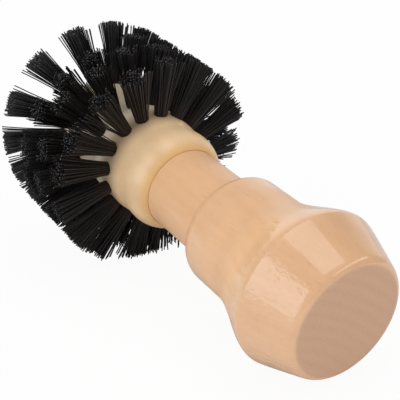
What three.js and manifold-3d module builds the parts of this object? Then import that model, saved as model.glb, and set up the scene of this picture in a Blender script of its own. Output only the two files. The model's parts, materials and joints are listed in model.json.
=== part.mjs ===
// Portafilter brush: a turned beech handle, a moulded head and nylon tufts round the head and on its nose.
// Millimetres, +Z up. The brush lies on a table, on its bulb and its rear tufts, with the butt towards +X.
// Inside the turned group the brush axis is +Y, from the butt face to the nose, and +X is the upper side.
import * as THREE from 'three';
import { mergeGeometries, mergeVertices } from 'three/addons/utils/BufferGeometryUtils.js';
import Module from 'manifold-3d';

const wasm = await Module();
wasm.setup();

// Handle, measured along the axis from the butt face
const HANDLE_LENGTH = 64; // butt face to the mouth of the collar
const BUTT_DIAMETER = 29.8;
const BUTT_ROUND = 1.9;
const BULB_DIAMETER = 39.4;
const BULB_HEIGHT = 13.1; // where the bulb is widest
const BULB_TAPER_DEG = 20.8; // slope of the cone between the butt and the bulb
const BULB_TAPER_END = 5.4; // where the cone rounds into the bulb
const BULB_ROLL = 3.1; // how far the bulb's crest runs on before the flare falls away
const FLARE_LENGTH = 17.4; // from the bulb to the straight body
const FLARE_EASE = 6.3; // how softly the flare runs into the body
const BODY_DIAMETER = 29.1;
const NECK_DIAMETER = 21.9;
const NECK_LENGTH = 20.2; // shoulder to collar mouth
const SHOULDER_LENGTH = 4; // of the round shoulder between body and neck
const SPIGOT_LENGTH = 6; // full neck inside the collar
const TENON_DIAMETER = 12;
const TENON_LENGTH = 22;
const TENON_CHAMFER = 1;

// Head, measured along the axis from the mouth of the collar
const COLLAR_WALL = 2.9; // crest of the bead over the neck
const BEAD_CREST = 6.8;
const GROOVE_POSITION = 9.4; // where the collar ends and the barrel starts
const GROOVE_DEPTH = 0.4; // below the crest of the bead
const BARREL_DIAMETER = 28.2;
const BARREL_SHOULDER = 4; // length of the cone from the groove to the full barrel
const RING_WALL = 1.3; // where the rings are thinnest
const NOSE_WALL = 3;
const NOSE_MARGIN = 4.2; // last row of tufts to the nose face
const NOSE_ROUND = 1.6;

// Tufts
const BRISTLE_DIAMETER = 60; // trimmed to fill a 58 mm filter basket
const FIRST_ROW = 16.4; // from the mouth of the collar
const ROW_PITCH = 8.2;
const ROW_TUFTS = 16;
const ROW_STARTS_DEG = [-6, 8.4, 16.5, -6]; // one row of tufts for each, turned to this angle
const FIRST_LEAN_DEG = -5; // towards the nose, so the first row leans back over the collar
const LEAN_STEP_DEG = 5.5; // the rows fan out from each other by this much
const CROWN_TUFTS = 6; // round one tuft in the middle of the nose
const CROWN_RADIUS = 4.6;
const CROWN_LEAN_DEG = 8;
const CROWN_HEIGHT = 9;

// Strands of one tuft: one in the middle and a ring round it
const STRAND_SIDES = 3;
const STRAND_DIAMETER = 1.1;
const STRAND_RING = 5;
const ROOT_RING_RADIUS = 1;
const SPLAY_DEG = 5.5; // of the ring's strands, away from the middle one
const ROOT_DEPTH = 1; // how far a strand is sunk in the plastic

const SEAT_GAP = 0.3; // between pieces that seat on each other
const REST_FLAT = 1; // tuft ends are pressed flat this deep where the brush lies
const TURN_SEGMENTS = 40;
const CURVE_STEPS = 6;

const rad = THREE.MathUtils.degToRad;

const neckRadius = NECK_DIAMETER / 2;
const tenonRadius = TENON_DIAMETER / 2;
const bulbRadius = BULB_DIAMETER / 2;
const bodyRadius = BODY_DIAMETER / 2;
const barrelRadius = BARREL_DIAMETER / 2;
const bristleRadius = BRISTLE_DIAMETER / 2;
const beadRadius = neckRadius + COLLAR_WALL;
const grooveRadius = beadRadius - GROOVE_DEPTH;
const ringBore = Math.min(barrelRadius, grooveRadius) - RING_WALL;
const collar = HANDLE_LENGTH;
const groove = collar + GROOVE_POSITION;
const lastRow = ROW_STARTS_DEG.length - 1;
const nose = collar + FIRST_ROW + lastRow * ROW_PITCH + NOSE_MARGIN;
const tenonEnd = collar + SPIGOT_LENGTH + TENON_LENGTH;

/** Points of an outline, with the doubled points at the joins of its curves taken out. */
function outline(path) {
  const points = path.getPoints(CURVE_STEPS);
  return points.filter((point, index) => index === 0 || point.distanceTo(points[index - 1]) > 1e-4);
}

/** Solid of revolution about Y, with a flat and not an edge on its underside. */
function revolve(path) {
  return new THREE.LatheGeometry(outline(path), TURN_SEGMENTS, Math.PI / TURN_SEGMENTS);
}

/** Closed geometry as a solid for joins and cuts: shared corners merged, slivers at the poles dropped. */
function solid(geometry) {
  const bare = geometry.clone();
  bare.deleteAttribute('normal');
  bare.deleteAttribute('uv');
  const merged = mergeVertices(bare, 1e-5);
  const index = merged.index.array;
  const kept = [];
  for (let i = 0; i < index.length; i += 3) {
    const [a, b, c] = [index[i], index[i + 1], index[i + 2]];
    if (a !== b && b !== c && c !== a) kept.push(a, b, c);
  }
  const vertProperties = new Float32Array(merged.attributes.position.array);
  return new wasm.Manifold(new wasm.Mesh({ numProp: 3, vertProperties, triVerts: new Uint32Array(kept) }));
}

/** Geometry of a joined or cut solid. */
function geometryOf(manifold) {
  const { vertProperties, triVerts } = manifold.getMesh();
  const geometry = new THREE.BufferGeometry();
  geometry.setAttribute('position', new THREE.BufferAttribute(new Float32Array(vertProperties), 3));
  geometry.setIndex(new THREE.BufferAttribute(new Uint32Array(triVerts), 1));
  geometry.computeVertexNormals();
  return geometry;
}

/** Curve from the path's last radius to another one that leaves and arrives along the axis. */
function easeTo(path, radius, height, leave = (height - path.currentPoint.y) / 3, arrive = leave) {
  const { x, y } = path.currentPoint;
  path.bezierCurveTo(x, y + leave, radius, height - arrive, radius, height);
}

/** Turned handle: butt, bulb, flared body with a round shoulder, neck, spigot and tenon. */
function handleOutline() {
  const taper = Math.tan(rad(BULB_TAPER_DEG));
  const buttRadius = BUTT_DIAMETER / 2;
  const taperTop = (bulbRadius - buttRadius) / taper;
  const shoulder = collar - NECK_LENGTH - SHOULDER_LENGTH;
  const spigotEnd = collar + SPIGOT_LENGTH - SEAT_GAP;
  const path = new THREE.Path();
  path.moveTo(0, 0);
  path.lineTo(buttRadius - BUTT_ROUND, 0);
  path.quadraticCurveTo(buttRadius, 0, buttRadius + BUTT_ROUND * taper, BUTT_ROUND);
  path.lineTo(buttRadius + BULB_TAPER_END * taper, BULB_TAPER_END);
  path.quadraticCurveTo(bulbRadius, taperTop, bulbRadius, BULB_HEIGHT);
  easeTo(path, bodyRadius, BULB_HEIGHT + FLARE_LENGTH, BULB_ROLL, FLARE_EASE);
  path.lineTo(bodyRadius, shoulder);
  path.absellipse(neckRadius, shoulder, bodyRadius - neckRadius, SHOULDER_LENGTH, 0, Math.PI / 2);
  path.lineTo(neckRadius, spigotEnd);
  path.lineTo(tenonRadius, spigotEnd);
  path.lineTo(tenonRadius, tenonEnd - TENON_CHAMFER);
  path.lineTo(tenonRadius - TENON_CHAMFER, tenonEnd);
  path.lineTo(0, tenonEnd);
  return path;
}

/** Moulded head: collar bead and groove, and the core that the rings sit on, with a stepped socket. */
function headOutline() {
  const crest = collar + BEAD_CREST;
  const coreRadius = ringBore - SEAT_GAP;
  const coreEnd = nose - NOSE_WALL - SEAT_GAP;
  const mouthRadius = neckRadius + SEAT_GAP;
  const socketRadius = tenonRadius + SEAT_GAP;
  const path = new THREE.Path();
  path.moveTo(0, tenonEnd + SEAT_GAP);
  path.lineTo(socketRadius, tenonEnd + SEAT_GAP);
  path.lineTo(socketRadius, collar + SPIGOT_LENGTH);
  path.lineTo(mouthRadius, collar + SPIGOT_LENGTH);
  path.lineTo(mouthRadius, collar);
  path.quadraticCurveTo(beadRadius, collar + BEAD_CREST / 2, beadRadius, crest);
  easeTo(path, grooveRadius, groove);
  path.lineTo(coreRadius, groove);
  path.lineTo(coreRadius, coreEnd);
  path.lineTo(0, coreEnd);
  return path;
}

/** Start of a ring of the barrel's wall: the first one rises from the groove, the others are full. */
function ringStart(row, from) {
  const path = new THREE.Path();
  path.moveTo(ringBore, from);
  path.lineTo(row === 0 ? grooveRadius : barrelRadius, from);
  if (row === 0) path.lineTo(barrelRadius, from + BARREL_SHOULDER);
  return path;
}

/** One ring of the barrel's wall between two heights. */
function ringOutline(row, from, to) {
  const path = ringStart(row, from);
  path.lineTo(barrelRadius, to);
  path.lineTo(ringBore, to);
  path.lineTo(ringBore, from);
  return path;
}

/** The last ring with the nose that closes the barrel. */
function noseOutline(row, from) {
  const path = ringStart(row, from);
  path.lineTo(barrelRadius, nose - NOSE_ROUND);
  path.quadraticCurveTo(barrelRadius, nose, barrelRadius - NOSE_ROUND, nose);
  path.lineTo(0, nose);
  path.lineTo(0, nose - NOSE_WALL);
  path.lineTo(ringBore, nose - NOSE_WALL);
  path.lineTo(ringBore, from);
  return path;
}

/** Distance along a ray from inside the head to the trimmed cylinder of bristle ends. */
function reachCylinder(root, direction) {
  const a = direction.x ** 2 + direction.z ** 2;
  const b = root.x * direction.x + root.z * direction.z;
  const c = root.x ** 2 + root.z ** 2 - bristleRadius ** 2;
  return (Math.sqrt(b * b - a * c) - b) / a;
}

/** Distance along a ray to the trimmed plane of the crown. */
function reachCrown(root, direction) {
  return (nose + CROWN_HEIGHT - root.y) / direction.y;
}

/** Section of a strand, a regular polygon. */
function strandSection() {
  const corners = Array.from({ length: STRAND_SIDES }, (_, i) => {
    const angle = (2 * Math.PI * i) / STRAND_SIDES;
    return new THREE.Vector2(Math.cos(angle), Math.sin(angle)).multiplyScalar(STRAND_DIAMETER / 2);
  });
  return new THREE.Shape(corners);
}

/** One strand from its root along a direction, for a length. */
function strand(root, direction, length) {
  const turn = new THREE.Quaternion().setFromUnitVectors(new THREE.Vector3(0, 0, 1), direction);
  return new THREE.ExtrudeGeometry(strandSection(), { depth: length, bevelEnabled: false })
    .applyQuaternion(turn)
    .translate(root.x, root.y, root.z);
}

/** One tuft: strands that leave the hole side by side and fan out evenly to the trimmed ends. */
function tuft(hole, direction, across, reach) {
  const along = new THREE.Vector3().crossVectors(direction, across);
  const fan = Math.tan(rad(SPLAY_DEG));
  const strands = [strand(hole, direction, reach(hole, direction))];
  for (let i = 0; i < STRAND_RING; i += 1) {
    const angle = (2 * Math.PI * i) / STRAND_RING;
    const offset = across.clone().multiplyScalar(Math.cos(angle)).addScaledVector(along, Math.sin(angle));
    const root = hole.clone().addScaledVector(offset, ROOT_RING_RADIUS);
    const heading = direction.clone().addScaledVector(offset, fan).normalize();
    strands.push(strand(root, heading, reach(root, heading)));
  }
  return strands;
}

/** Outward direction at an angle round the axis, from the upper side. */
function outwardAt(degrees) {
  return new THREE.Vector3(Math.cos(rad(degrees)), 0, Math.sin(rad(degrees)));
}

/** Angles of the tufts of one row, in degrees from the upper side. */
function rowAngles(row) {
  return Array.from({ length: ROW_TUFTS }, (_, i) => ROW_STARTS_DEG[row] + (i * 360) / ROW_TUFTS);
}

/** Height of a row's holes along the axis. */
function rowHeight(row) {
  return collar + FIRST_ROW + row * ROW_PITCH;
}

/** How far a row's tufts lean towards the nose, in radians. */
function rowLean(row) {
  return rad(FIRST_LEAN_DEG + row * LEAN_STEP_DEG);
}

/** All strands of one row round the barrel. */
function rowStrands(row) {
  const lean = rowLean(row);
  return rowAngles(row).flatMap((degrees) => {
    const outward = outwardAt(degrees);
    const hole = outward.clone().multiplyScalar(barrelRadius - ROOT_DEPTH).setY(rowHeight(row));
    const direction = outward.multiplyScalar(Math.cos(lean)).setY(Math.sin(lean));
    return tuft(hole, direction, outwardAt(degrees + 90), reachCylinder);
  });
}

/** Strands of the crown on the nose: one tuft in the middle and a ring of tufts round it. */
function crownStrands() {
  const height = nose - ROOT_DEPTH;
  const lean = rad(CROWN_LEAN_DEG);
  const middle = new THREE.Vector3(0, height, 0);
  const strands = tuft(middle, new THREE.Vector3(0, 1, 0), outwardAt(0), reachCrown);
  for (let i = 0; i < CROWN_TUFTS; i += 1) {
    const degrees = (i * 360) / CROWN_TUFTS;
    const outward = outwardAt(degrees);
    const hole = outward.clone().multiplyScalar(CROWN_RADIUS).setY(height);
    const direction = outward.multiplyScalar(Math.sin(lean)).setY(Math.cos(lean));
    strands.push(...tuft(hole, direction, outwardAt(degrees + 90), reachCrown));
  }
  return strands;
}

/** How the brush lies on its bulb and its rear tufts: the tilt, the height of the butt and the table itself. */
function restOnTable() {
  const tuftLength = bristleRadius - barrelRadius;
  const rearSpread = ROOT_RING_RADIUS + tuftLength * Math.tan(rad(SPLAY_DEG));
  const rearTip = rowHeight(0) + tuftLength * Math.tan(rowLean(0)) - rearSpread;
  const rearRadius = bristleRadius - REST_FLAT;
  const toFlat = Math.cos(Math.PI / TURN_SEGMENTS);
  const slopes = outline(handleOutline())
    .filter((point) => point.y < collar)
    .map((point) => (rearRadius - point.x * toFlat) / (rearTip - point.y));
  const tilt = Math.atan(Math.min(...slopes));
  const size = 4 * (nose + bristleRadius);
  const table = new THREE.BoxGeometry(size, size, size)
    .translate(-size / 2, 0, 0)
    .rotateZ(tilt)
    .translate(-rearRadius, rearTip, 0);
  return { tilt, buttHeight: rearRadius * Math.cos(tilt) - rearTip * Math.sin(tilt), table };
}

/** Named mesh in the brush's own frame. */
function piece(name, geometry, color, roughness) {
  const mesh = new THREE.Mesh(geometry, new THREE.MeshStandardMaterial({ color, roughness, metalness: 0 }));
  mesh.name = name;
  return mesh;
}

const rest = restOnTable();
const table = solid(rest.table);

/** A slice of the barrel with its strands fused in, the tips that meet the table cut flat. */
function bristleRow(row) {
  const last = row === lastRow;
  const from = (row === 0 ? groove : rowHeight(row) - ROW_PITCH / 2) + SEAT_GAP;
  const slice = last ? noseOutline(row, from) : ringOutline(row, from, rowHeight(row) + ROW_PITCH / 2);
  const strands = last ? [...rowStrands(row), ...crownStrands()] : rowStrands(row);
  const fused = solid(revolve(slice)).add(solid(mergeGeometries(strands))).subtract(table);
  return piece(last ? 'nose_bristles' : `bristle_ring_${row + 1}`, geometryOf(fused), 0x181412, 0.5);
}

const brush = new THREE.Group();
brush.add(piece('handle', revolve(handleOutline()), 0xe0b389, 0.35));
brush.add(piece('brush_head', revolve(headOutline()), 0xe1c095, 0.4));
for (let row = 0; row <= lastRow; row += 1) brush.add(bristleRow(row));

const axis = new THREE.Vector3(-Math.cos(rest.tilt), 0, Math.sin(rest.tilt));
const upper = new THREE.Vector3(Math.sin(rest.tilt), 0, Math.cos(rest.tilt));
const side = new THREE.Vector3().crossVectors(upper, axis);
brush.quaternion.setFromRotationMatrix(new THREE.Matrix4().makeBasis(upper, axis, side));
const box = new THREE.Box3().setFromObject(brush, true);
brush.position.set(-(box.min.x + box.max.x) / 2, -(box.min.y + box.max.y) / 2, rest.buttHeight);

const portafilterBrush = new THREE.Group();
portafilterBrush.add(brush);
export default portafilterBrush;
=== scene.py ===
"""Portafilter brush lying on a table: turned beech handle, moulded ivory head, tufts of black nylon.

Sizes are in millimetres in the brush's own frame: Z runs from the butt face to the nose and X points to the
upper side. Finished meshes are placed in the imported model's frame, in metres.
"""

from __future__ import annotations

import json
import logging
import math
from dataclasses import dataclass, field
from enum import Enum
from typing import Sequence

import bpy
import numpy as np
from mathutils import Matrix, Vector

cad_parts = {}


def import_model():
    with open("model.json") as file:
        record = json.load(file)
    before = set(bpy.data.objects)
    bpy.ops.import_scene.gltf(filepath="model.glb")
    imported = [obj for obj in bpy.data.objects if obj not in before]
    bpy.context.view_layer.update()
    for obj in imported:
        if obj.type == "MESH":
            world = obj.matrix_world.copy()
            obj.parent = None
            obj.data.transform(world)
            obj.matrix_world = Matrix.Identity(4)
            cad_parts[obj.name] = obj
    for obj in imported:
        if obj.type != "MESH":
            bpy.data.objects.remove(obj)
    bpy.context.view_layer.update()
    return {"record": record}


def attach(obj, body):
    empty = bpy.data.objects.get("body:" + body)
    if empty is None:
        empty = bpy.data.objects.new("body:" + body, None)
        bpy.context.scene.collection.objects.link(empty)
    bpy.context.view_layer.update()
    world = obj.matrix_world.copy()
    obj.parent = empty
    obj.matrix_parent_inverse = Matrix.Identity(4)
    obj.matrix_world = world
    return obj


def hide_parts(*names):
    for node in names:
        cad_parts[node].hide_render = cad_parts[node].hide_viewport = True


LOG = logging.getLogger("portafilter_brush")
MM = 0.001
BODY = "root"
GOLDEN_ANGLE = math.pi * (3.0 - math.sqrt(5.0))
TURNED_CREASE_DEG = 40.0
STRAND_CREASE_DEG = 80.0
WELD_MM = 1e-4
TABLE_SLACK_M = 1e-6
Station = tuple[float, float]
Pair = tuple[float, float]
Triple = tuple[float, float, float]
Colour = tuple[float, float, float, float]
Socket = bpy.types.NodeSocket
StrandMesh = tuple[np.ndarray, list[list[int]], np.ndarray]


class Slot(Enum):
    """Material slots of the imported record."""

    BEECH = "beech"
    IVORY = "ivory_plastic"
    NYLON = "black_nylon"


def tone(red: int, green: int, blue: int) -> Colour:
    """Colour as it is seen on a screen, 0 to 255, made linear for a shader."""
    seen = [channel / 255.0 for channel in (red, green, blue)]
    lit = [c / 12.92 if c <= 0.04045 else ((c + 0.055) / 1.055) ** 2.4 for c in seen]
    return (lit[0], lit[1], lit[2], 1.0)


@dataclass(frozen=True)
class BrushAxis:
    """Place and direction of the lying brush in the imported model's frame."""

    butt: Vector
    along: Vector

    @classmethod
    def from_mount(cls, record: dict, mount: str) -> BrushAxis:
        """Read the axis from the flat face at the butt.

        Args:
            record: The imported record.
            mount: Name of the butt's flat face in it.

        Returns:
            The axis, from the butt face towards the nose.
        """
        face = next(item for item in record["mounts"] if item["name"] == mount)
        return cls(Vector(face["pos_m"]), -Vector(face["axis"]).normalized())

    def rotation(self) -> Matrix:
        """Turn from the brush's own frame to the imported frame."""
        up = Vector((0.0, 0.0, 1.0))
        upper = (up - self.along * up.dot(self.along)).normalized()
        return Matrix((upper, self.along.cross(upper), self.along)).transposed()

    def matrix(self) -> Matrix:
        """Place of the brush's own frame, millimetres to metres."""
        return Matrix.Translation(self.butt) @ self.rotation().to_4x4() @ Matrix.Scale(MM, 4)

    def coordinates(self, graph: Graph) -> Socket:
        """Object coordinates turned to the brush's own frame, in millimetres, for a material."""
        place = {
            "Vector": graph.add("TexCoord").outputs["Object"],
            "Location": self.butt,
            "Rotation": self.rotation().to_euler(),
            "Scale": (MM, MM, MM),
        }
        return graph.add("Mapping", place, vector_type="TEXTURE").outputs[0]


class Outline:
    """Half section of a turned piece, drawn as stations of radius and height."""

    def __init__(self, radius: float, height: float) -> None:
        """Start the section at a radius and a height."""
        self.stations: list[Station] = [(radius, height)]

    def line(self, radius: float, height: float, steps: int = 1) -> Outline:
        """Draw a straight line to a station, in equal steps."""
        r0, h0 = self.stations[-1]
        for i in range(1, steps + 1):
            t = i / steps
            self.stations.append((r0 + (radius - r0) * t, h0 + (height - h0) * t))
        return self

    def curve(self, *stations: Station, steps: int = 10) -> Outline:
        """Draw a Bezier curve: control stations first, then the end."""
        control = np.array([self.stations[-1], *stations])
        degree = len(control) - 1
        shares = [math.comb(degree, k) for k in range(degree + 1)]
        for i in range(1, steps + 1):
            t = i / steps
            weights = [share * t ** k * (1 - t) ** (degree - k) for k, share in enumerate(shares)]
            radius, height = weights @ control
            self.stations.append((float(radius), float(height)))
        return self

    def ease(self, radius: float, height: float, pulls: Pair | None = None, steps: int = 10) -> Outline:
        """Draw a curve to a station that leaves and arrives along the axis.

        Args:
            radius: Radius of the station.
            height: Height of the station.
            pulls: How far it keeps to the axis at either end, a third of the way unless told.
            steps: Number of points drawn.

        Returns:
            The outline.
        """
        r0, h0 = self.stations[-1]
        third = (height - h0) / 3.0
        leave, arrive = pulls or (third, third)
        return self.curve((r0, h0 + leave), (radius, height - arrive), (radius, height), steps=steps)

    def shoulder(self, radius: float, length: float, steps: int = 14) -> Outline:
        """Draw a quarter ellipse inwards to a smaller radius."""
        r0, h0 = self.stations[-1]
        for i in range(1, steps + 1):
            angle = 0.5 * math.pi * i / steps
            inward = (r0 - radius) * math.cos(angle)
            self.stations.append((radius + inward, h0 + length * math.sin(angle)))
        return self


def deselect() -> None:
    """Leave no object selected, so that an operator acts on the new piece alone."""
    bpy.ops.object.select_all(action="DESELECT")


def make_active(piece: bpy.types.Object) -> None:
    """Select one object alone and make it active."""
    deselect()
    piece.select_set(True)
    bpy.context.view_layer.objects.active = piece


def turn(name: str, outline: Outline, segments: int) -> bpy.types.Object:
    """Turn a half section about Z, as on a lathe.

    Args:
        name: Name of the new piece.
        outline: Half section, closed on the axis at both ends or round on itself.
        segments: Number of steps round the axis.

    Returns:
        The turned piece, closed and facing outwards.
    """
    deselect()
    bpy.ops.mesh.primitive_plane_add(size=1.0)
    piece = bpy.context.object
    piece.name = name
    bpy.ops.object.mode_set(mode="EDIT")
    bpy.ops.mesh.select_all(action="SELECT")
    bpy.ops.mesh.merge(type="CENTER")
    reached = Vector((0.0, 0.0, 0.0))
    for index, (radius, height) in enumerate(outline.stations):
        step = Vector((radius, 0.0, height)) - reached
        if index == 0:
            bpy.ops.transform.translate(value=step)
        else:
            bpy.ops.mesh.extrude_region_move(TRANSFORM_OT_translate={"value": step})
        reached += step
    bpy.ops.mesh.select_all(action="SELECT")
    bpy.ops.mesh.spin(steps=segments, angle=2.0 * math.pi, center=(0, 0, 0), axis=(0, 0, 1))
    bpy.ops.mesh.select_all(action="SELECT")
    bpy.ops.mesh.remove_doubles(threshold=WELD_MM)
    bpy.ops.mesh.normals_make_consistent(inside=False)
    bpy.ops.object.mode_set(mode="OBJECT")
    return piece


def finish_shape(piece: bpy.types.Object, axis: BrushAxis, smooth_deg: float) -> None:
    """Smooth a piece and put its mesh at its place, with its object at the origin.

    Args:
        piece: Finished piece in the brush's own frame.
        axis: Place of the brush.
        smooth_deg: Edges sharper than this stay crisp.
    """
    make_active(piece)
    bpy.ops.object.shade_smooth_by_angle(angle=math.radians(smooth_deg))
    piece.data.transform(axis.matrix())
    piece.data.update()


class Graph:
    """A node tree with short calls to add and join its nodes."""

    def __init__(self, tree: bpy.types.NodeTree) -> None:
        """Take the tree that the nodes go into."""
        self.tree = tree

    def add(self, kind: str, inputs: dict | None = None, **settings: object) -> bpy.types.Node:
        """Add a node.

        Args:
            kind: Type of the node, without its ShaderNode prefix.
            inputs: Values or sockets by the name or number of the input.
            **settings: Properties of the node itself.

        Returns:
            The new node.
        """
        node = self.tree.nodes.new("ShaderNode" + kind)
        for key, value in settings.items():
            setattr(node, key, value)
        for key, value in (inputs or {}).items():
            if isinstance(value, Socket):
                self.tree.links.new(value, node.inputs[key])
            else:
                node.inputs[key].default_value = value
        return node

    def blend(self, factor: object, first: object, second: object, mode: str = "MIX") -> Socket:
        """Mix two colours and return the result."""
        inputs = {0: factor, 6: first, 7: second}
        return self.add("Mix", inputs, data_type="RGBA", blend_type=mode).outputs[2]

    def calc(self, operation: str, first: object, second: object) -> Socket:
        """Combine two values and return the result."""
        return self.add("Math", {0: first, 1: second}, operation=operation).outputs[0]

    def part(self, vector: object, letter: str) -> Socket:
        """One coordinate of a vector, X, Y or Z."""
        return self.add("SeparateXYZ", {0: vector}).outputs[letter]

    def stretch(self, vector: object, factors: Sequence[float]) -> Socket:
        """Scale a vector by a factor for each direction."""
        return self.add("VectorMath", {0: vector, 1: factors}, operation="MULTIPLY").outputs[0]

    def dot(self, first: object, second: object) -> Socket:
        """Dot product of two vectors."""
        return self.add("VectorMath", {0: first, 1: second}, operation="DOT_PRODUCT").outputs["Value"]

    def fade(self, value: object, low: float, high: float) -> Socket:
        """Mask that rises smoothly from 0 at one value to 1 at another."""
        inputs = {"Value": value, 1: low, 2: high, 3: 0.0, 4: 1.0}
        return self.add("MapRange", inputs, interpolation_type="SMOOTHSTEP").outputs[0]

    def band(self, value: object, start: Pair, end: Pair) -> Socket:
        """Mask that rises over one range of values and falls again over another."""
        return self.calc("MULTIPLY", self.fade(value, *start), self.fade(value, *end))

    def between(self, mask: object, low: object, high: object) -> Socket:
        """Value that goes from one level to another as a mask rises from 0 to 1."""
        return self.add("MapRange", {"Value": mask, 3: low, 4: high}).outputs[0]

    def streaks(self, local: Socket, squeeze: float, scale: float, detail: float) -> Socket:
        """Noise that is drawn out along the brush.

        Args:
            local: Coordinates in the brush's own frame.
            squeeze: Share of the length that the noise sees: the smaller, the longer the streaks.
            scale: Scale of the noise across the brush.
            detail: Finer layers of noise.

        Returns:
            The noise as a value.
        """
        inputs = {"Vector": self.stretch(local, (1.0, 1.0, squeeze)), "Scale": scale, "Detail": detail}
        return self.add("TexNoise", inputs).outputs["Fac"]

    def mask(self, tree: bpy.types.NodeTree, vector: Socket, scale: float, detail: float) -> Socket:
        """Place the group for uneven colour and return its mask."""
        inputs = {"Vector": vector, "Scale": scale, "Detail": detail}
        return self.add("Group", inputs, node_tree=tree).outputs["Mask"]


def blank_material(name: str) -> tuple[bpy.types.Material, Graph, bpy.types.Node]:
    """New material with an empty surface.

    Args:
        name: Name of the material.

    Returns:
        The material, its graph and its output node.
    """
    material = bpy.data.materials.new(name)
    material.use_nodes = True
    material.node_tree.nodes.clear()
    graph = Graph(material.node_tree)
    return material, graph, graph.add("OutputMaterial")


def mottle_group() -> bpy.types.NodeTree:
    """Group that gives a soft uneven mask, for finishes that are never quite one colour."""
    tree = bpy.data.node_groups.new("Mottle", "ShaderNodeTree")
    sockets = {"Vector": "NodeSocketVector", "Scale": "NodeSocketFloat", "Detail": "NodeSocketFloat"}
    for name, kind in sockets.items():
        tree.interface.new_socket(name=name, in_out="INPUT", socket_type=kind)
    tree.interface.new_socket(name="Mask", in_out="OUTPUT", socket_type="NodeSocketFloat")
    graph = Graph(tree)
    entry = tree.nodes.new("NodeGroupInput")
    leave = tree.nodes.new("NodeGroupOutput")
    inputs = {name: entry.outputs[name] for name in sockets}
    noise = graph.add("TexNoise", {**inputs, "Roughness": 0.55})
    tree.links.new(graph.fade(noise.outputs["Fac"], 0.3, 0.7), leave.inputs["Mask"])
    return tree


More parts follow.
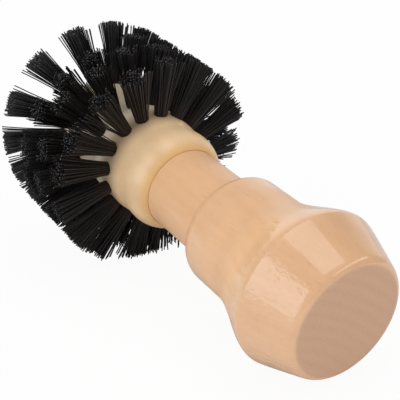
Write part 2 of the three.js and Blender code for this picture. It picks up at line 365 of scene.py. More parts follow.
@dataclass(frozen=True)
class LacqueredBeech:
    """Turned beech under clear lacquer, with dull darker end grain on the butt and painted light in the
    hollow.
    """

    light: Colour = tone(234, 185, 140)
    deep: Colour = tone(225, 174, 128)
    fleck: Colour = tone(196, 142, 98)
    end_light: Colour = tone(209, 168, 137)
    end_deep: Colour = tone(200, 157, 125)
    # Painted light: the hollow on the camera's side is made paler to cancel the shade that the dark bristles
    # throw on it.
    painted_light_tint: Colour = (1.17, 1.20, 1.20, 1.0)
    bulb_tint: Colour = (0.962, 0.945, 0.93, 1.0)
    pith: Triple = (46.0, 31.0, 0.0)
    ring_scale: float = 0.11
    butt_mask: Pair = (0.02, 0.3)
    bulb_end: Pair = (15.5, 11.5)
    painted_light_start: Pair = (12.5, 16.5)
    painted_light_end: Pair = (29.0, 20.0)
    painted_light_side: Pair = (-2.0, -9.0)
    hollow_start: Pair = (16.0, 21.0)
    hollow_end: Pair = (38.0, 31.0)
    neck_start: Pair = (38.5, 41.5)
    thin_coat: float = 0.3
    butt_coat: float = 0.15
    ripple_scale: float = 0.9
    ripple_height: float = 0.00025
    ripple_side: Pair = (-9.0, -15.0)
    ripple_end: Pair = (17.0, 13.5)

    def build(self, axis: BrushAxis, mottle: bpy.types.NodeTree) -> bpy.types.Material:
        """Make the material.

        Args:
            axis: Place of the brush, which the grain follows.
            mottle: Group for uneven colour.

        Returns:
            The material.
        """
        material, graph, output = blank_material("lacquered_beech")
        local = axis.coordinates(graph)
        fibre = graph.streaks(local, 0.09, 1.6, 4.0)
        rings = self.year_rings(graph, local)
        cloud = graph.mask(mottle, graph.stretch(local, (1.0, 1.0, 0.5)), 0.13, 3.0)
        lengthwise = graph.fade(graph.part(local, "Z"), *self.butt_mask)
        grain = graph.calc("ADD", graph.calc("MULTIPLY", rings, 0.1), graph.calc("MULTIPLY", fibre, 0.3))
        grain = graph.calc("ADD", grain, graph.calc("MULTIPLY", cloud, 0.28))
        end = self.end_colour(graph, local, rings)
        colour = graph.blend(lengthwise, end, self.side_colour(graph, local, grain))
        relief = graph.add("Bump", {"Height": fibre, "Strength": 0.4, "Distance": 0.00003})
        surface = graph.add("BsdfPrincipled", {
            "Base Color": colour,
            "Roughness": graph.between(lengthwise, 0.62, 0.45),
            "Normal": relief.outputs[0],
            "Coat Weight": graph.between(lengthwise, self.butt_coat, self.side_coat(graph, local)),
            "Coat Roughness": 0.08,
            "Coat IOR": 1.7,
            "Coat Normal": self.ripples(graph, local),
        })
        graph.tree.links.new(surface.outputs[0], output.inputs["Surface"])
        return material

    def year_rings(self, graph: Graph, local: Socket) -> Socket:
        """Wide year rings round a pith outside the handle."""
        from_pith = graph.add("VectorMath", {0: local, 1: self.pith}, operation="ADD").outputs[0]
        inputs = {
            "Vector": graph.stretch(from_pith, (1.0, 1.0, 0.06)),
            "Scale": self.ring_scale,
            "Distortion": 1.4,
            "Detail": 2.0,
            "Detail Scale": 0.6,
        }
        return graph.add("TexWave", inputs, wave_type="RINGS", rings_direction="Z").outputs["Fac"]

    def side_colour(self, graph: Graph, local: Socket, grain: Socket) -> Socket:
        """Colour of the turned side: grain with flecks, painted light in the hollow on the camera's side,
        deeper on the bulb.

        Args:
            graph: Node tree of the material.
            local: Coordinates in the brush's own frame.
            grain: Mask of the grain.

        Returns:
            The colour.
        """
        height = graph.part(local, "Z")
        fleck = graph.fade(graph.streaks(local, 0.22, 1.25, 1.0), 0.6, 0.78)
        front = graph.fade(graph.part(local, "Y"), *self.painted_light_side)
        painted_light = graph.calc("MULTIPLY", graph.band(height, self.painted_light_start, self.painted_light_end), front)
        colour = graph.blend(graph.fade(grain, 0.1, 0.8), self.light, self.deep)
        colour = graph.blend(graph.calc("MULTIPLY", fleck, 0.16), colour, self.fleck)
        # painted light: lifts the hollow on the camera's side against the shade of the bristles
        colour = graph.blend(painted_light, colour, self.painted_light_tint, "MULTIPLY")
        return graph.blend(graph.fade(height, *self.bulb_end), colour, self.bulb_tint, "MULTIPLY")

    def end_colour(self, graph: Graph, local: Socket, rings: Socket) -> Socket:
        """Colour of the sawn butt, from its pores and a trace of the year rings."""
        pores = graph.calc("MULTIPLY", graph.streaks(local, 0.1, 2.2, 3.0), 0.85)
        sawn = graph.calc("ADD", pores, graph.calc("MULTIPLY", rings, 0.1))
        return graph.blend(graph.fade(sawn, 0.25, 0.75), self.end_light, self.end_deep)

    def side_coat(self, graph: Graph, local: Socket) -> Socket:
        """Lacquer on the side, thin in the hollow and from the shoulder on."""
        height = graph.part(local, "Z")
        hollow = graph.band(height, self.hollow_start, self.hollow_end)
        thin = graph.calc("MAXIMUM", hollow, graph.fade(height, *self.neck_start))
        return graph.between(thin, 1.0, self.thin_coat)

    def ripples(self, graph: Graph, local: Socket) -> Socket:
        """Normal of the lacquer, which sagged a little on one side of the bulb."""
        sags = graph.streaks(local, 0.6, self.ripple_scale, 2.0)
        side = graph.fade(graph.part(local, "Y"), *self.ripple_side)
        thick = graph.calc("MULTIPLY", side, graph.fade(graph.part(local, "Z"), *self.ripple_end))
        inputs = {
            "Height": graph.calc("MULTIPLY", sags, thick),
            "Strength": 1.0,
            "Distance": self.ripple_height,
        }
        return graph.add("Bump", inputs).outputs[0]


@dataclass(frozen=True)
class IvoryPlastic:
    """Moulded plastic in a warm ivory, smooth with a soft gloss, with painted shade at the mouth and round
    the tuft roots and painted light on the bead.
    """

    light: Colour = tone(234, 199, 155)
    deep: Colour = tone(219, 184, 140)
    # Painted shade with painted warm bounce light from the wood, in the valley where the collar meets the
    # neck.
    lip: Colour = tone(222, 174, 112)
    # Painted light: the bead and groove are made paler to cancel the shade of the bristles over them.
    bead: Colour = tone(247, 210, 165)
    # Painted shade: the barrel round the tuft roots is darkened to stand for the shade between the tufts.
    barrel: Colour = tone(172, 149, 120)
    far_barrel: Colour = tone(224, 208, 180)
    painted_mouth_shade: Pair = (63.9, 67.0)
    painted_bead_light: Pair = (68.5, 73.0)
    painted_root_shade: Pair = (74.5, 81.0)
    pale_barrel: Pair = (81.5, 86.0)
    roughness: Pair = (0.26, 0.36)

    def build(self, axis: BrushAxis, mottle: bpy.types.NodeTree) -> bpy.types.Material:
        """Make the material.

        Args:
            axis: Place of the brush, which the flow of the moulding follows.
            mottle: Group for uneven colour.

        Returns:
            The material.
        """
        material, graph, output = blank_material("ivory_plastic")
        local = axis.coordinates(graph)
        height = graph.part(local, "Z")
        flow = graph.mask(mottle, graph.stretch(local, (1.0, 1.0, 0.3)), 0.16, 1.0)
        skin = graph.mask(mottle, local, 3.5, 2.0)
        colour = graph.blend(flow, self.light, self.deep)
        # painted shade and warm bounce light at the mouth
        colour = graph.blend(graph.fade(height, *self.painted_mouth_shade), self.lip, colour)
        # painted light on the bead against the bristles' shade
        colour = graph.blend(graph.fade(height, *self.painted_bead_light), colour, self.bead)
        # painted shade round the tuft roots
        colour = graph.blend(graph.fade(height, *self.painted_root_shade), colour, self.barrel)
        colour = graph.blend(graph.fade(height, *self.pale_barrel), colour, self.far_barrel)
        relief = graph.add("Bump", {"Height": skin, "Strength": 0.25, "Distance": 0.00001})
        surface = graph.add("BsdfPrincipled", {
            "Base Color": colour,
            "Roughness": graph.between(skin, *self.roughness),
            "Normal": relief.outputs[0],
            "Subsurface Weight": 0.12,
            "Subsurface Radius": (0.002, 0.0012, 0.0006),
        })
        graph.tree.links.new(surface.outputs[0], output.inputs["Surface"])
        return material


@dataclass(frozen=True)
class BlackNylon:
    """Drawn nylon strands, black with a brown cast at the root, and their paler cut ends."""

    root: Colour = tone(49, 39, 34)
    strand: Colour = tone(33, 31, 31)
    worn: Colour = tone(59, 55, 54)
    cut: Colour = tone(112, 108, 106)

    def build_strand(self) -> bpy.types.Material:
        """Make the material of the strands' sides."""
        material, graph, output = blank_material("black_nylon")
        along = graph.add("Attribute", attribute_name="along").outputs["Fac"]
        shade = graph.add("Attribute", attribute_name="shade").outputs["Fac"]
        colour = graph.blend(graph.fade(along, 0.05, 0.5), self.root, self.strand)
        colour = graph.blend(graph.calc("MULTIPLY", graph.fade(shade, 0.6, 1.0), 0.6), colour, self.worn)
        surface = graph.add("BsdfPrincipled", {
            "Base Color": colour,
            "Roughness": 0.42,
            "Specular IOR Level": 0.3,
        })
        graph.tree.links.new(surface.outputs[0], output.inputs["Surface"])
        return material

    def build_cut(self) -> bpy.types.Material:
        """Make the material of the strands' cut ends."""
        material, graph, output = blank_material("nylon_cut_end")
        shade = graph.add("Attribute", attribute_name="shade").outputs["Fac"]
        colour = graph.blend(graph.fade(shade, 0.3, 1.1), self.strand, self.cut)
        surface = graph.add("BsdfPrincipled", {"Base Color": colour, "Roughness": 0.6})
        graph.tree.links.new(surface.outputs[0], output.inputs["Surface"])
        return material


@dataclass
class Handle:
    """Turned handle: butt, bulb, body, neck, and the spigot and tenon inside the head."""

    length: float = 64.0
    butt_radius: float = 14.9
    butt_round: float = 1.9
    bulb_radius: float = 19.7
    bulb_height: float = 13.1
    taper_deg: float = 20.8
    taper_end: float = 5.4
    bulb_roll: float = 3.1
    flare_length: float = 17.4
    flare_ease: float = 6.3
    body_radius: float = 14.55
    shoulder_length: float = 4.0
    neck_radius: float = 10.95
    neck_length: float = 20.2
    spigot_length: float = 5.7
    tenon_radius: float = 6.0
    tenon_end: float = 92.0
    tenon_chamfer: float = 1.0
    segments: int = 128

    def outline(self) -> Outline:
        """Half section from the butt face to the end of the tenon."""
        taper = math.tan(math.radians(self.taper_deg))
        taper_top = (self.bulb_radius - self.butt_radius) / taper
        rim = (self.butt_radius + self.butt_round * taper, self.butt_round)
        bulb = (self.bulb_radius, self.bulb_height)
        shoulder = self.length - self.neck_length - self.shoulder_length
        spigot = self.length + self.spigot_length
        pulls = (self.bulb_roll, self.flare_ease)
        section = Outline(0.0, 0.0).line(self.butt_radius - self.butt_round, 0.0, 3)
        section.curve((self.butt_radius, 0.0), rim)
        section.line(self.butt_radius + self.taper_end * taper, self.taper_end, 3)
        section.curve((self.bulb_radius, taper_top), bulb, steps=14)
        section.ease(self.body_radius, self.bulb_height + self.flare_length, pulls, 24)
        section.line(self.body_radius, shoulder, 3).shoulder(self.neck_radius, self.shoulder_length)
        section.line(self.neck_radius, self.length, 4).line(self.neck_radius, spigot)
        section.line(self.tenon_radius, spigot).line(self.tenon_radius, self.tenon_end - self.tenon_chamfer)
        return section.line(self.tenon_radius - self.tenon_chamfer, self.tenon_end).line(0.0, self.tenon_end)

    def build(self, axis: BrushAxis) -> bpy.types.Object:
        """Turn the handle, put it in place and flatten the bulb where it rests on the table."""
        piece = turn("turned_handle", self.outline(), self.segments)
        finish_shape(piece, axis, TURNED_CREASE_DEG)
        bpy.ops.object.mode_set(mode="EDIT")
        bpy.ops.mesh.select_all(action="SELECT")
        bpy.ops.mesh.bisect(
            plane_co=(0, 0, 0),
            plane_no=(0, 0, 1),
            use_fill=True,
            clear_inner=True,
            threshold=TABLE_SLACK_M,
        )
        bpy.ops.object.mode_set(mode="OBJECT")
        return piece

    def dress(self, piece: bpy.types.Object, finish: bpy.types.Material) -> None:
        """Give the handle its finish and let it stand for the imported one."""
        piece.data.materials.append(finish)
        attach(piece, BODY)
        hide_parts("handle")


@dataclass(frozen=True)
class TuftSeat:
    """One tuft hole: a point on the plastic, the way the tuft leaves it, a way across it, and its fan."""

    mouth: Vector
    direction: Vector
    across: Vector
    fan: Pair = (1.0, 1.0)


@dataclass
class Head:
    """Moulded head: lip, bead, groove, barrel and nose, with a stepped socket and a hole for each tuft."""

    mouth: float = 64.0
    mouth_radius: float = 10.98
    lip_round: float = 0.2
    spigot_length: float = 6.0
    socket_radius: float = 6.3
    socket_end: float = 92.3
    bead_crest: float = 6.4
    bead_radius: float = 13.85
    groove_height: float = 10.2
    groove_radius: float = 13.56
    barrel_height: float = 15.4
    barrel_radius: float = 14.1
    nose_height: float = 45.2
    nose_round: float = 1.6
    hole_radius: float = 1.72
    hole_depth: float = 3.6
    hole_sides: int = 20
    segments: int = 128

    def outline(self) -> Outline:
        """Half section from the bottom of the socket, round the mouth, to the middle of the nose."""
        crest = self.mouth + self.bead_crest
        nose = self.mouth + self.nose_height
        section = Outline(0.0, self.socket_end).line(self.socket_radius, self.socket_end)
        section.line(self.socket_radius, self.mouth + self.spigot_length)
        section.line(self.mouth_radius, self.mouth + self.spigot_length)
        section.line(self.mouth_radius, self.mouth + self.lip_round)
        lip = (self.mouth_radius + self.lip_round, self.mouth + 0.5 * self.lip_round)
        bead_foot = (self.bead_radius, self.mouth + 0.5 * self.bead_crest)
        section.curve((self.mouth_radius, self.mouth), lip, steps=4)
        section.curve(bead_foot, (self.bead_radius, crest), steps=20)
        section.ease(self.groove_radius, self.mouth + self.groove_height, steps=8)
        section.ease(self.barrel_radius, self.mouth + self.barrel_height)
        section.line(self.barrel_radius, nose - self.nose_round, 6)
        section.curve((self.barrel_radius, nose), (self.barrel_radius - self.nose_round, nose), steps=8)
        return section.line(0.0, nose, 3)

    def build(self, axis: BrushAxis, seats: Sequence[TuftSeat]) -> bpy.types.Object:
        """Turn the head, sink a hole for each tuft, and put it in place.

        Args:
            axis: Place of the brush.
            seats: All tuft holes.

        Returns:
            The finished head.
        """
        piece = turn("moulded_head", self.outline(), self.segments)
        drill = self.drill(seats)
        make_active(piece)
        cut = piece.modifiers.new("tuft_holes", "BOOLEAN")
        cut.operation = "DIFFERENCE"
        cut.solver = "EXACT"
        cut.use_self = True
        cut.object = drill
        bpy.ops.object.modifier_apply(modifier=cut.name)
        bpy.data.objects.remove(drill)
        finish_shape(piece, axis, TURNED_CREASE_DEG)
        return piece

    def drill(self, seats: Sequence[TuftSeat]) -> bpy.types.Object:
        """Cutter with one pin for each tuft hole."""
        deselect()
        bpy.ops.mesh.primitive_cylinder_add(
            vertices=self.hole_sides, radius=self.hole_radius, depth=2.0 * self.hole_depth
        )
        pin = bpy.context.object
        pins = [pin]
        while len(pins) < len(seats):
            copy = pin.copy()
            copy.data = pin.data.copy()
            bpy.context.collection.objects.link(copy)
            pins.append(copy)
        for item, seat in zip(pins, seats):
            turned = seat.direction.to_track_quat("Z", "Y").to_matrix().to_4x4()
            item.data.transform(Matrix.Translation(seat.mouth) @ turned)
            item.select_set(True)
        bpy.context.view_layer.objects.active = pin
        bpy.ops.object.join()
        return pin

    def dress(self, piece: bpy.types.Object, finish: bpy.types.Material) -> None:
        """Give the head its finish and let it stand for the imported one."""
        piece.data.materials.append(finish)
        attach(piece, BODY)
        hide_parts("brush_head")


@dataclass(frozen=True)
class Strand:
    """One strand of unit length and radius: ring of points, sides and ends, modelled once for all tufts."""

    sides: int = 5
    cuts: int = 3

    def model(self) -> StrandMesh:
        """Model the strand.

        Returns:
            Its points, its faces as point numbers, and which faces are ends.
        """
        deselect()
        bpy.ops.mesh.primitive_cylinder_add(vertices=self.sides, radius=1.0, depth=1.0, location=(0, 0, 0.5))
        piece = bpy.context.object
        bpy.ops.object.transform_apply(location=True)
        bpy.ops.object.mode_set(mode="EDIT")
        bpy.ops.mesh.select_mode(type="EDGE")
        bpy.ops.mesh.select_all(action="DESELECT")
        bpy.ops.object.mode_set(mode="OBJECT")
        for edge in piece.data.edges:
            low, high = (piece.data.vertices[i].co.z for i in edge.vertices)
            edge.select = abs(high - low) > 0.5
        bpy.ops.object.mode_set(mode="EDIT")
        bpy.ops.mesh.subdivide(number_cuts=self.cuts)
        bpy.ops.object.mode_set(mode="OBJECT")
        points = np.array([vertex.co for vertex in piece.data.vertices])
        faces = [list(face.vertices) for face in piece.data.polygons]
        ends = np.array([abs(face.normal.z) > 0.9 for face in piece.data.polygons])
        bpy.data.objects.remove(piece)
        return points, faces, ends


@dataclass(frozen=True)
class StrandLine:
    """Course of one strand: root, middle and tip, and the way its cut end faces."""

    root: Vector
    middle: Vector
    tip: Vector
    cut: Vector

    def lay(self, points: np.ndarray, radius: float) -> np.ndarray:
        """Lay the modelled strand along this course and slant its end to the cut.

        Args:
            points: Points of the strand of unit length and radius.
            radius: Radius of the strand.

        Returns:
            The points along the course.
        """
        along = points[:, 2:3]
        root, middle, tip, cut = (np.array(v) for v in (self.root, self.middle, self.tip, self.cut))
        bend = 2.0 * middle - 0.5 * (root + tip)
        path = (1 - along) ** 2 * root + 2 * along * (1 - along) * bend + along ** 2 * tip
        turned = (self.tip - self.root).to_track_quat("Z", "Y").to_matrix()
        first, second, heading = (np.array(turned.col[i]) for i in range(3))
        offset = radius * (points[:, :1] * first + points[:, 1:2] * second)
        slant = (offset @ cut)[:, None] / (heading @ cut) * (along > 0.99)
        return path + offset - heading * slant


@dataclass(frozen=True)
class RoundTrim:
    """Cylinder round the brush's axis that the rows are trimmed to."""

    radius: float

    def reach(self, root: Vector, heading: Vector) -> float:
        """Distance from a root along a heading to the cylinder."""
        outward = heading.x ** 2 + heading.y ** 2
        along = root.x * heading.x + root.y * heading.y
        beyond = root.x ** 2 + root.y ** 2 - self.radius ** 2
        return (math.sqrt(along * along - outward * beyond) - along) / outward

    def normal(self, tip: Vector) -> Vector:
        """Way that an end cut at this tip faces."""
        return Vector((tip.x, tip.y, 0.0)).normalized()


@dataclass(frozen=True)
class FlatTrim:
    """Plane across the brush's axis that the crown is trimmed to."""

    height: float

    def reach(self, root: Vector, heading: Vector) -> float:
        """Distance from a root along a heading to the plane."""
        return (self.height - root.z) / heading.z

    def normal(self, tip: Vector) -> Vector:
        """Way that an end cut at this tip faces."""
        return Vector((0.0, 0.0, 1.0))


Trim = RoundTrim | FlatTrim


@dataclass
class Tuft:
    """How the strands of one tuft are bundled in the hole and fan out to the trimmed ends."""

    strands: int = 92
    strand_radius: float = 0.16
    root_radius: float = 1.53
    root_depth: float = 2.2
    flare: float = 2.0
    flare_play: float = 0.1
    looseness: float = 0.5
    clumps: int = 6
    clump_shift: float = 0.25
    wisps: tuple[int, int] = (2, 4)
    wisp_strands: tuple[int, int] = (2, 5)
    wisp_gap: Pair = (0.3, 1.3)
    wisp_step: float = 0.42
    wisp_play: float = 0.18
    wisp_turn: float = 0.5
    tip_play: float = 0.12
    trim_play: float = 0.7
    bow: float = 0.4

    def tips(self, roots: np.ndarray, fan: Pair, random: np.random.Generator) -> np.ndarray:
        """Places of the strands' ends across the tuft.

        Args:
            roots: Places of the strands in the hole.
            fan: How much wider than usual the tuft fans out, across and onward.
            random: Source of the small differences between strands.

        Returns:
            The places at the trimmed end: a fanned bundle in loose clumps, with wisps off its sides.
        """
        centres = random.uniform(-1.0, 1.0, (self.clumps, 2)) * self.root_radius
        shifts = random.normal(0.0, self.clump_shift, (self.clumps, 2))
        clump = ((roots[:, None] - centres[None]) ** 2).sum(2).argmin(1)
        flare = self.flare * (1.0 + random.normal(0.0, self.flare_play))
        outward = (roots ** 2).sum(1, keepdims=True) / self.root_radius ** 2
        tips = roots * flare * (1.0 + self.looseness * (outward - 0.5)) + shifts[clump]
        tips += random.normal(0.0, self.tip_play, roots.shape)
        for number in range(random.integers(*self.wisps)):
            angle = math.pi * number + random.normal(0.0, self.wisp_turn)
            aside = np.array((math.cos(angle), math.sin(angle)))
            count = int(random.integers(*self.wisp_strands))
            gap = self.root_radius * flare + random.uniform(*self.wisp_gap)
            for rank, index in enumerate(np.argsort(-roots @ aside)[:count]):
                stand_off = gap + (count - 1 - rank) * self.wisp_step
                tips[index] = aside * stand_off + random.normal(0.0, self.wisp_play, 2)
        return tips * np.array(fan)

    def lines(self, seat: TuftSeat, trim: Trim, random: np.random.Generator) -> list[StrandLine]:
        """Lay out the strands of one tuft.

        Args:
            seat: Hole of the tuft.
            trim: Surface that the strands are cut to.
            random: Source of the small differences between strands.

        Returns:
            The course of each strand.
        """
        number = np.arange(self.strands)
        angles = random.uniform(0.0, 2.0 * math.pi) + number * GOLDEN_ANGLE
        radii = self.root_radius * np.sqrt((number + 0.5) / self.strands)
        roots = np.stack((np.cos(angles) * radii, np.sin(angles) * radii), 1)
        foot = seat.mouth - seat.direction * self.root_depth
        onward = seat.direction.cross(seat.across)
        full = trim.reach(foot, seat.direction)
        laid = []
        for root, tip in zip(roots, self.tips(roots, seat.fan, random)):
            at_root = foot + seat.across * root[0] + onward * root[1]
            spread = seat.across * (tip[0] - root[0]) + onward * (tip[1] - root[1])
            heading = (seat.direction * full + spread).normalized()
            length = min(full, trim.reach(at_root, heading)) - random.uniform(0.0, self.trim_play)
            at_middle = at_root + (seat.direction * 0.5 * length + spread * self.bow)
            at_tip = at_root + heading * length
            laid.append(StrandLine(at_root, at_middle, at_tip, trim.normal(at_tip)))
        return laid


@dataclass(frozen=True)
class Bend:
    """How one tuft differs from its row: root and end turned, in degrees, end set onward, in mm, and fan."""

    root: float
    end: float
    onward: float
    fan: float = 1.0


def seen_bends() -> dict[tuple[int, int], Bend]:
    """Bends of the tufts that the photo shows one by one, by row and place in the row."""
    return {
        (0, 0): Bend(-0.7, 2.5, -0.9),
        (0, 1): Bend(0.2, 2.2, -3.8),
        (0, 2): Bend(-0.6, 1.0, -4.4, 1.2),
        (0, 3): Bend(1.0, 1.0, -3.3, 1.1),
        (0, 4): Bend(0.7, -2.8, -2.0),
        (0, 5): Bend(0.9, -0.5, -1.0),
        (0, 6): Bend(0.0, 0.0, 0.6),
        (0, 7): Bend(0.0, -4.4, 1.0, 0.75),
        (0, 8): Bend(0.0, -1.4, 1.5, 1.15),
        (0, 9): Bend(0.0, -10.0, 1.6, 1.2),
        (0, 10): Bend(0.0, -14.0, 1.0),
        (0, 12): Bend(1.0, 5.0, 3.4, 0.8),
        (0, 13): Bend(1.5, 6.4, 0.9, 0.85),
        (0, 14): Bend(0.0, 2.4, 1.0, 1.2),
        (1, 0): Bend(0.0, 0.0, 1.6),
        (1, 1): Bend(0.0, -1.2, -1.9),
        (1, 2): Bend(1.0, -2.4, 1.0, 1.35),
        (1, 3): Bend(0.0, 0.5, -0.6),
        (1, 7): Bend(0.0, 6.5, 1.0, 0.9),
        (1, 8): Bend(0.0, -3.0, 1.0, 0.7),
        (1, 12): Bend(0.0, -7.0, 1.0, 0.8),
        (1, 13): Bend(0.0, -6.0, 1.0),
        (1, 15): Bend(0.0, 2.5, 1.0, 1.3),
        (2, 0): Bend(2.0, 6.8, -2.6),
        (2, 1): Bend(0.0, 3.4, -2.4),
        (2, 2): Bend(0.0, 1.6, -0.8, 0.8),
        (2, 3): Bend(2.0, 4.0, 1.4),
        (2, 14): Bend(0.0, 2.0, 1.5, 1.3),
        (2, 15): Bend(0.0, -1.2, 2.0),
        (3, 0): Bend(-0.5, -0.6, 5.8, 0.92),
        (3, 1): Bend(0.0, 1.0, 6.4),
        (3, 2): Bend(1.4, 4.7, 5.8, 1.1),
        (3, 3): Bend(3.2, 8.4, 6.2, 1.1),
        (3, 4): Bend(5.0, 10.0, 6.4, 0.95),
        (3, 5): Bend(0.0, 5.8, 4.6),
        (3, 6): Bend(0.0, 4.0, 4.2),
        (3, 15): Bend(0.0, 6.0, 1.2, 1.25),
    }


@dataclass
class Bristles:
    """All tufts: rows round the barrel and the crown on the nose."""

    head: Head
    tuft: Tuft
    trim_radius: float = 30.0
    trim_square: float = 0.45
    first_row: float = 16.4
    row_pitch: float = 8.2
    row_starts_deg: tuple[float, ...] = (-6.0, 8.4, 16.5, -6.0)
    row_leans_deg: tuple[float, ...] = (4.0, 2.5, 5.0, 14.0)
    row_tufts: int = 16
    lean_play_deg: float = 1.1
    turn_play_deg: float = 0.66
    bends: dict[tuple[int, int], Bend] = field(default_factory=seen_bends)
    pressed_fan: Pair = (1.4, 0.85)
    press_rate: float = 1.5
    free_deg: float = 25.0
    crown_tufts: int = 6
    crown_radius: float = 4.6
    crown_lean_deg: float = 8.0
    crown_height: float = 9.0
    floor_gap: float = 0.2
    seat_seed: int = 58
    strand_seed: int = 158

    def row_angles(self, row: int) -> list[float]:
        """Angles of a row's tufts from the upper side towards the camera's side, in degrees."""
        step = 360.0 / self.row_tufts
        return [self.row_starts_deg[row] + index * step for index in range(self.row_tufts)]

    def row_seats(self, row: int) -> list[TuftSeat]:
        """Tuft holes of one row."""
        random = np.random.default_rng(self.seat_seed + row)
        height = self.head.mouth + self.first_row + row * self.row_pitch
        free = self.trim_radius - self.head.barrel_radius
        seats = []
        for index, degrees in enumerate(self.row_angles(row)):
            lean = self.row_leans_deg[row] + random.normal(0.0, self.lean_play_deg)
            turned = random.normal(0.0, self.turn_play_deg)
            usual = Bend(0.0, turned, free * math.tan(math.radians(lean)))
            bend = self.bends.get((row, index), usual)
            angle = -math.radians(degrees + bend.root)
            end_angle = -math.radians(degrees + bend.end)
            outward = Vector((math.cos(angle), math.sin(angle), 0.0))
            across = Vector((-math.sin(angle), math.cos(angle), 0.0))
            mouth = outward * self.head.barrel_radius + Vector((0.0, 0.0, height))
            end = Vector((math.cos(end_angle), math.sin(end_angle), 0.0)) * self.trim_radius
            end.z = height + bend.onward
            fan_across, fan_onward = self.fan(degrees)
            fan = (fan_across * bend.fan, fan_onward)
            seats.append(TuftSeat(mouth, (end - mouth).normalized(), across, fan))
        return seats

    def fan(self, degrees: float) -> Pair:
        """How much wider a tuft fans out across and onward: the table presses the lower ones apart.

        Args:
            degrees: Angle of the tuft from the upper side.

        Returns:
            The factors across and onward.
        """
        below = 0.5 - 0.5 * math.cos(math.radians(degrees - self.free_deg))
        pressed = min(1.0, self.press_rate * below ** 2)
        across, onward = self.pressed_fan
        return (1.0 + (across - 1.0) * pressed, 1.0 + (onward - 1.0) * pressed)

    def round_trim(self, seat: TuftSeat) -> RoundTrim:
        """Trim of one tuft: the round is a little square, longer half way between the sides."""
        angle = math.atan2(seat.mouth.y, seat.mouth.x)
        return RoundTrim(self.trim_radius + self.trim_square * math.sin(2.0 * angle) ** 2)

    def crown_seats(self) -> list[TuftSeat]:
        """Tuft holes of the crown: one in the middle of the nose and a ring round it."""
        nose = Vector((0.0, 0.0, self.head.mouth + self.head.nose_height))
        seats = [TuftSeat(nose, Vector((0.0, 0.0, 1.0)), Vector((1.0, 0.0, 0.0)))]
        lean = math.radians(self.crown_lean_deg)
        for index in range(self.crown_tufts):
            angle = 2.0 * math.pi * index / self.crown_tufts
            outward = Vector((math.cos(angle), math.sin(angle), 0.0))
            across = Vector((-math.sin(angle), math.cos(angle), 0.0))
            direction = outward * math.sin(lean) + Vector((0.0, 0.0, math.cos(lean)))
            seats.append(TuftSeat(nose + outward * self.crown_radius, direction, across))
        return seats

    def seats(self) -> list[TuftSeat]:
        """All tuft holes of the head."""
        rows = [seat for row in range(len(self.row_starts_deg)) for seat in self.row_seats(row)]
        return rows + self.crown_seats()

    def clear_table(self, line: StrandLine, axis: BrushAxis) -> StrandLine:
        """Shorten a strand that would go through the table.

        Args:
            line: Course of the strand.
            axis: Place of the brush.

        Returns:
            The strand's course, with its tip just above the table at the lowest.
        """
        low = (axis.matrix() @ line.tip).z / MM
        if low >= self.floor_gap:
            return line
        high = (axis.matrix() @ line.root).z / MM
        tip = line.root + (line.tip - line.root) * ((high - self.floor_gap) / (high - low))
        down = axis.rotation().inverted() @ Vector((0.0, 0.0, -1.0))
        return StrandLine(line.root, line.middle, tip, down)

    def build(self, axis: BrushAxis) -> list[bpy.types.Object]:
        """Make the tufts: one piece for each row, and the crown with the last one.

        Args:
            axis: Place of the brush.

        Returns:
            The pieces, in order from the collar to the nose.
        """
        strand = Strand().model()
        pieces = []
        crown_trim = FlatTrim(self.head.mouth + self.head.nose_height + self.crown_height)
        last = len(self.row_starts_deg) - 1
        for row in range(last + 1):
            random = np.random.default_rng(self.strand_seed + row)
            lines = []
            for seat in self.row_seats(row):
                lines += self.tuft.lines(seat, self.round_trim(seat), random)
            if row == last:
                for seat in self.crown_seats():
                    lines += self.tuft.lines(seat, crown_trim, random)
            lines = [self.clear_table(line, axis) for line in lines]
            name = "nose_tufts" if row == last else f"tuft_row_{row + 1}"
            pieces.append(self.weave(name, strand, lines, random, axis))
        return pieces

    def weave(
        self,
        name: str,
        strand: StrandMesh,
        lines: Sequence[StrandLine],
        random: np.random.Generator,
        axis: BrushAxis,
    ) -> bpy.types.Object:
        """Copy the strand along every line of a piece.

        Args:
            name: Name of the new piece.
            strand: Points, faces and ends of the modelled strand.
            lines: Course of each strand.
            random: Source of the strands' shades.
            axis: Place of the brush.

        Returns:
            The piece, with attributes for the place along a strand and for its shade.
        """
        points, faces, ends = strand
        count = len(lines)
        woven = np.concatenate([line.lay(points, self.tuft.strand_radius) for line in lines])
        starts = range(0, count * len(points), len(points))
        corners = [[start + corner for corner in face] for start in starts for face in faces]
        mesh = bpy.data.meshes.new(name)
        mesh.from_pydata(woven.tolist(), [], corners)
        attributes = {
            "along": np.tile(points[:, 2], count),
            "shade": np.repeat(random.random(count), len(points)),
        }
        for label, values in attributes.items():
            mesh.attributes.new(label, "FLOAT", "POINT").data.foreach_set("value", values.astype(np.float32))
        mesh.polygons.foreach_set("material_index", np.tile(ends, count).astype(np.int32))
        piece = bpy.data.objects.new(name, mesh)
        bpy.context.collection.objects.link(piece)
        finish_shape(piece, axis, STRAND_CREASE_DEG)
        return piece

    def dress(self, pieces: Sequence[bpy.types.Object], finish: BlackNylon) -> None:
        """Give the tufts their finish and let each piece stand for its packed ring."""
        nodes = ("bristle_ring_1", "bristle_ring_2", "bristle_ring_3", "nose_bristles")
        side = finish.build_strand()
        cut = finish.build_cut()
        for piece, node in zip(pieces, nodes):
            piece.data.materials.append(side)
            piece.data.materials.append(cut)
            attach(piece, BODY)
            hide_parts(node)


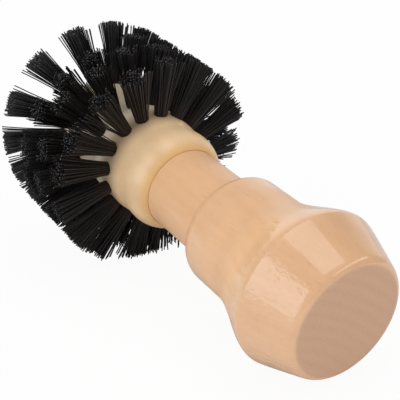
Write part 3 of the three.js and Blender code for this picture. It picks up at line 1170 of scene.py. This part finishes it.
@dataclass(frozen=True)
class Softbox:
    """Rectangular lamp with a diffuser, facing a point."""

    name: str
    place: Triple
    target: Triple
    width: float
    height: float
    power: float
    colour: Triple = (1.0, 1.0, 1.0)

    def build(self) -> None:
        """Set the lamp up."""
        lamp = bpy.data.lights.new(self.name, "AREA")
        lamp.shape = "RECTANGLE"
        lamp.size = self.width
        lamp.size_y = self.height
        lamp.energy = self.power
        lamp.color = self.colour
        holder = bpy.data.objects.new(self.name, lamp)
        holder.location = self.place
        aim = Vector(self.target) - Vector(self.place)
        holder.rotation_euler = aim.to_track_quat("-Z", "Y").to_euler()
        bpy.context.collection.objects.link(holder)


@dataclass
class Studio:
    """White table, three softboxes and the camera at the photograph's angle."""

    camera_place: Triple = (0.182278, -0.12112, 0.115848)
    camera_aim: Triple = (-0.76755, 0.51536, -0.38115)
    lens: float = 83.412
    sensor: float = 36.0
    near: float = 0.01
    floor_size: float = 6.0
    floor_white: float = 0.94
    floor_lit: float = 0.9
    floor_mirrored: float = 0.75
    fill_front: float = 0.76
    fill_behind: float = 0.47
    fill_turn: Pair = (0.8, -0.8)
    room: float = 0.16
    backdrop: float = 1.0
    backdrop_side: Triple = (-0.8, 0.6, 0.0)
    backdrop_edge: Pair = (0.5, 0.95)
    lamps: tuple[Softbox, ...] = (
        Softbox("top_softbox", (0.03, 0.03, 1.03), (0.03, 0.03, 0.0), 0.70, 0.68, 1.8),
        Softbox("left_softbox", (0.04, -1.03, 0.52), (0.04, 0.0, 0.5), 0.78, 1.05, 4.0, (0.9, 0.98, 1.05)),
        Softbox("rear_softbox", (0.6, 0.45, 0.57), (0.06, 0.0, 0.02), 1.1, 0.14, 0.9),
    )

    def build(self) -> None:
        """Set up everything that isn't the brush."""
        self.build_camera()
        self.build_floor()
        self.build_world()
        for lamp in self.lamps:
            lamp.build()
        bpy.context.scene.view_settings.view_transform = "Standard"

    def build_camera(self) -> None:
        """Camera at the photograph's angle."""
        data = bpy.data.cameras.new("camera")
        data.lens = self.lens
        data.sensor_width = self.sensor
        data.clip_start = self.near
        camera = bpy.data.objects.new("camera", data)
        camera.location = self.camera_place
        camera.rotation_euler = Vector(self.camera_aim).to_track_quat("-Z", "Y").to_euler()
        bpy.context.collection.objects.link(camera)
        bpy.context.scene.camera = camera

    def seen_rays(self, graph: Graph) -> Socket:
        """Mask of the rays that show the background white: from the camera or through something clear."""
        path = graph.add("LightPath").outputs
        return graph.calc("MAXIMUM", path["Is Camera Ray"], path["Is Transmission Ray"])

    def build_floor(self) -> None:
        """White table that keeps a faint shadow."""
        deselect()
        bpy.ops.mesh.primitive_plane_add(size=self.floor_size)
        floor = bpy.context.object
        floor.name = "table"
        material, graph, output = blank_material("table_white")
        glossy = graph.add("LightPath").outputs["Is Glossy Ray"]
        bright, dim = ((level, level, level, 1.0) for level in (self.floor_lit, self.floor_mirrored))
        lit = graph.add("BsdfDiffuse", {"Color": graph.blend(glossy, bright, dim)})
        white = graph.add("Emission", {"Color": (1.0, 1.0, 1.0, 1.0), "Strength": 1.0})
        share = graph.calc("MULTIPLY", self.seen_rays(graph), self.floor_white)
        mixed = graph.add("MixShader", {0: share, 1: lit.outputs[0], 2: white.outputs[0]})
        graph.tree.links.new(mixed.outputs[0], output.inputs["Surface"])
        floor.data.materials.append(material)

    def build_world(self) -> None:
        """Fill light, a dim room and a bright backdrop for reflections, and white where it is seen."""
        world = bpy.data.worlds.new("studio")
        world.use_nodes = True
        world.node_tree.nodes.clear()
        graph = Graph(world.node_tree)
        direction = graph.add("TexCoord").outputs["Generated"]
        behind = graph.fade(graph.dot(direction, self.backdrop_side), *self.backdrop_edge)
        mirrored = graph.between(behind, self.room, self.backdrop)
        front = graph.fade(graph.dot(direction, self.camera_aim), *self.fill_turn)
        fill = graph.between(front, self.fill_behind, self.fill_front)
        glossy = graph.add("LightPath").outputs["Is Glossy Ray"]
        level = graph.add("Mix", {0: glossy, 2: fill, 3: mirrored}).outputs[0]
        light = graph.add("Background", {"Color": (1.0, 1.0, 1.0, 1.0), "Strength": level})
        white = graph.add("Background", {"Color": (1.0, 1.0, 1.0, 1.0), "Strength": 1.0})
        mixed = graph.add("MixShader", {0: self.seen_rays(graph), 1: light.outputs[0], 2: white.outputs[0]})
        output = graph.add("OutputWorld")
        graph.tree.links.new(mixed.outputs[0], output.inputs["Surface"])
        bpy.context.scene.world = world


def main() -> None:
    """Build the brush piece by piece and set up the studio round it."""
    logging.basicConfig(level=logging.INFO, format="%(name)s: %(message)s")
    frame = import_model()
    axis = BrushAxis.from_mount(frame["record"], "butt_face")
    mottle = mottle_group()

    handle = Handle()
    wood = handle.build(axis)
    handle.dress(wood, LacqueredBeech().build(axis, mottle))
    LOG.info("%s: %d faces", wood.name, len(wood.data.polygons))

    head = Head()
    bristles = Bristles(head, Tuft())
    plastic = head.build(axis, bristles.seats())
    head.dress(plastic, IvoryPlastic().build(axis, mottle))
    LOG.info("%s: %d faces", plastic.name, len(plastic.data.polygons))

    tufts = bristles.build(axis)
    bristles.dress(tufts, BlackNylon())
    for piece in tufts:
        LOG.info("%s: %d faces", piece.name, len(piece.data.polygons))

    Studio().build()


if __name__ == "__main__":
    main()
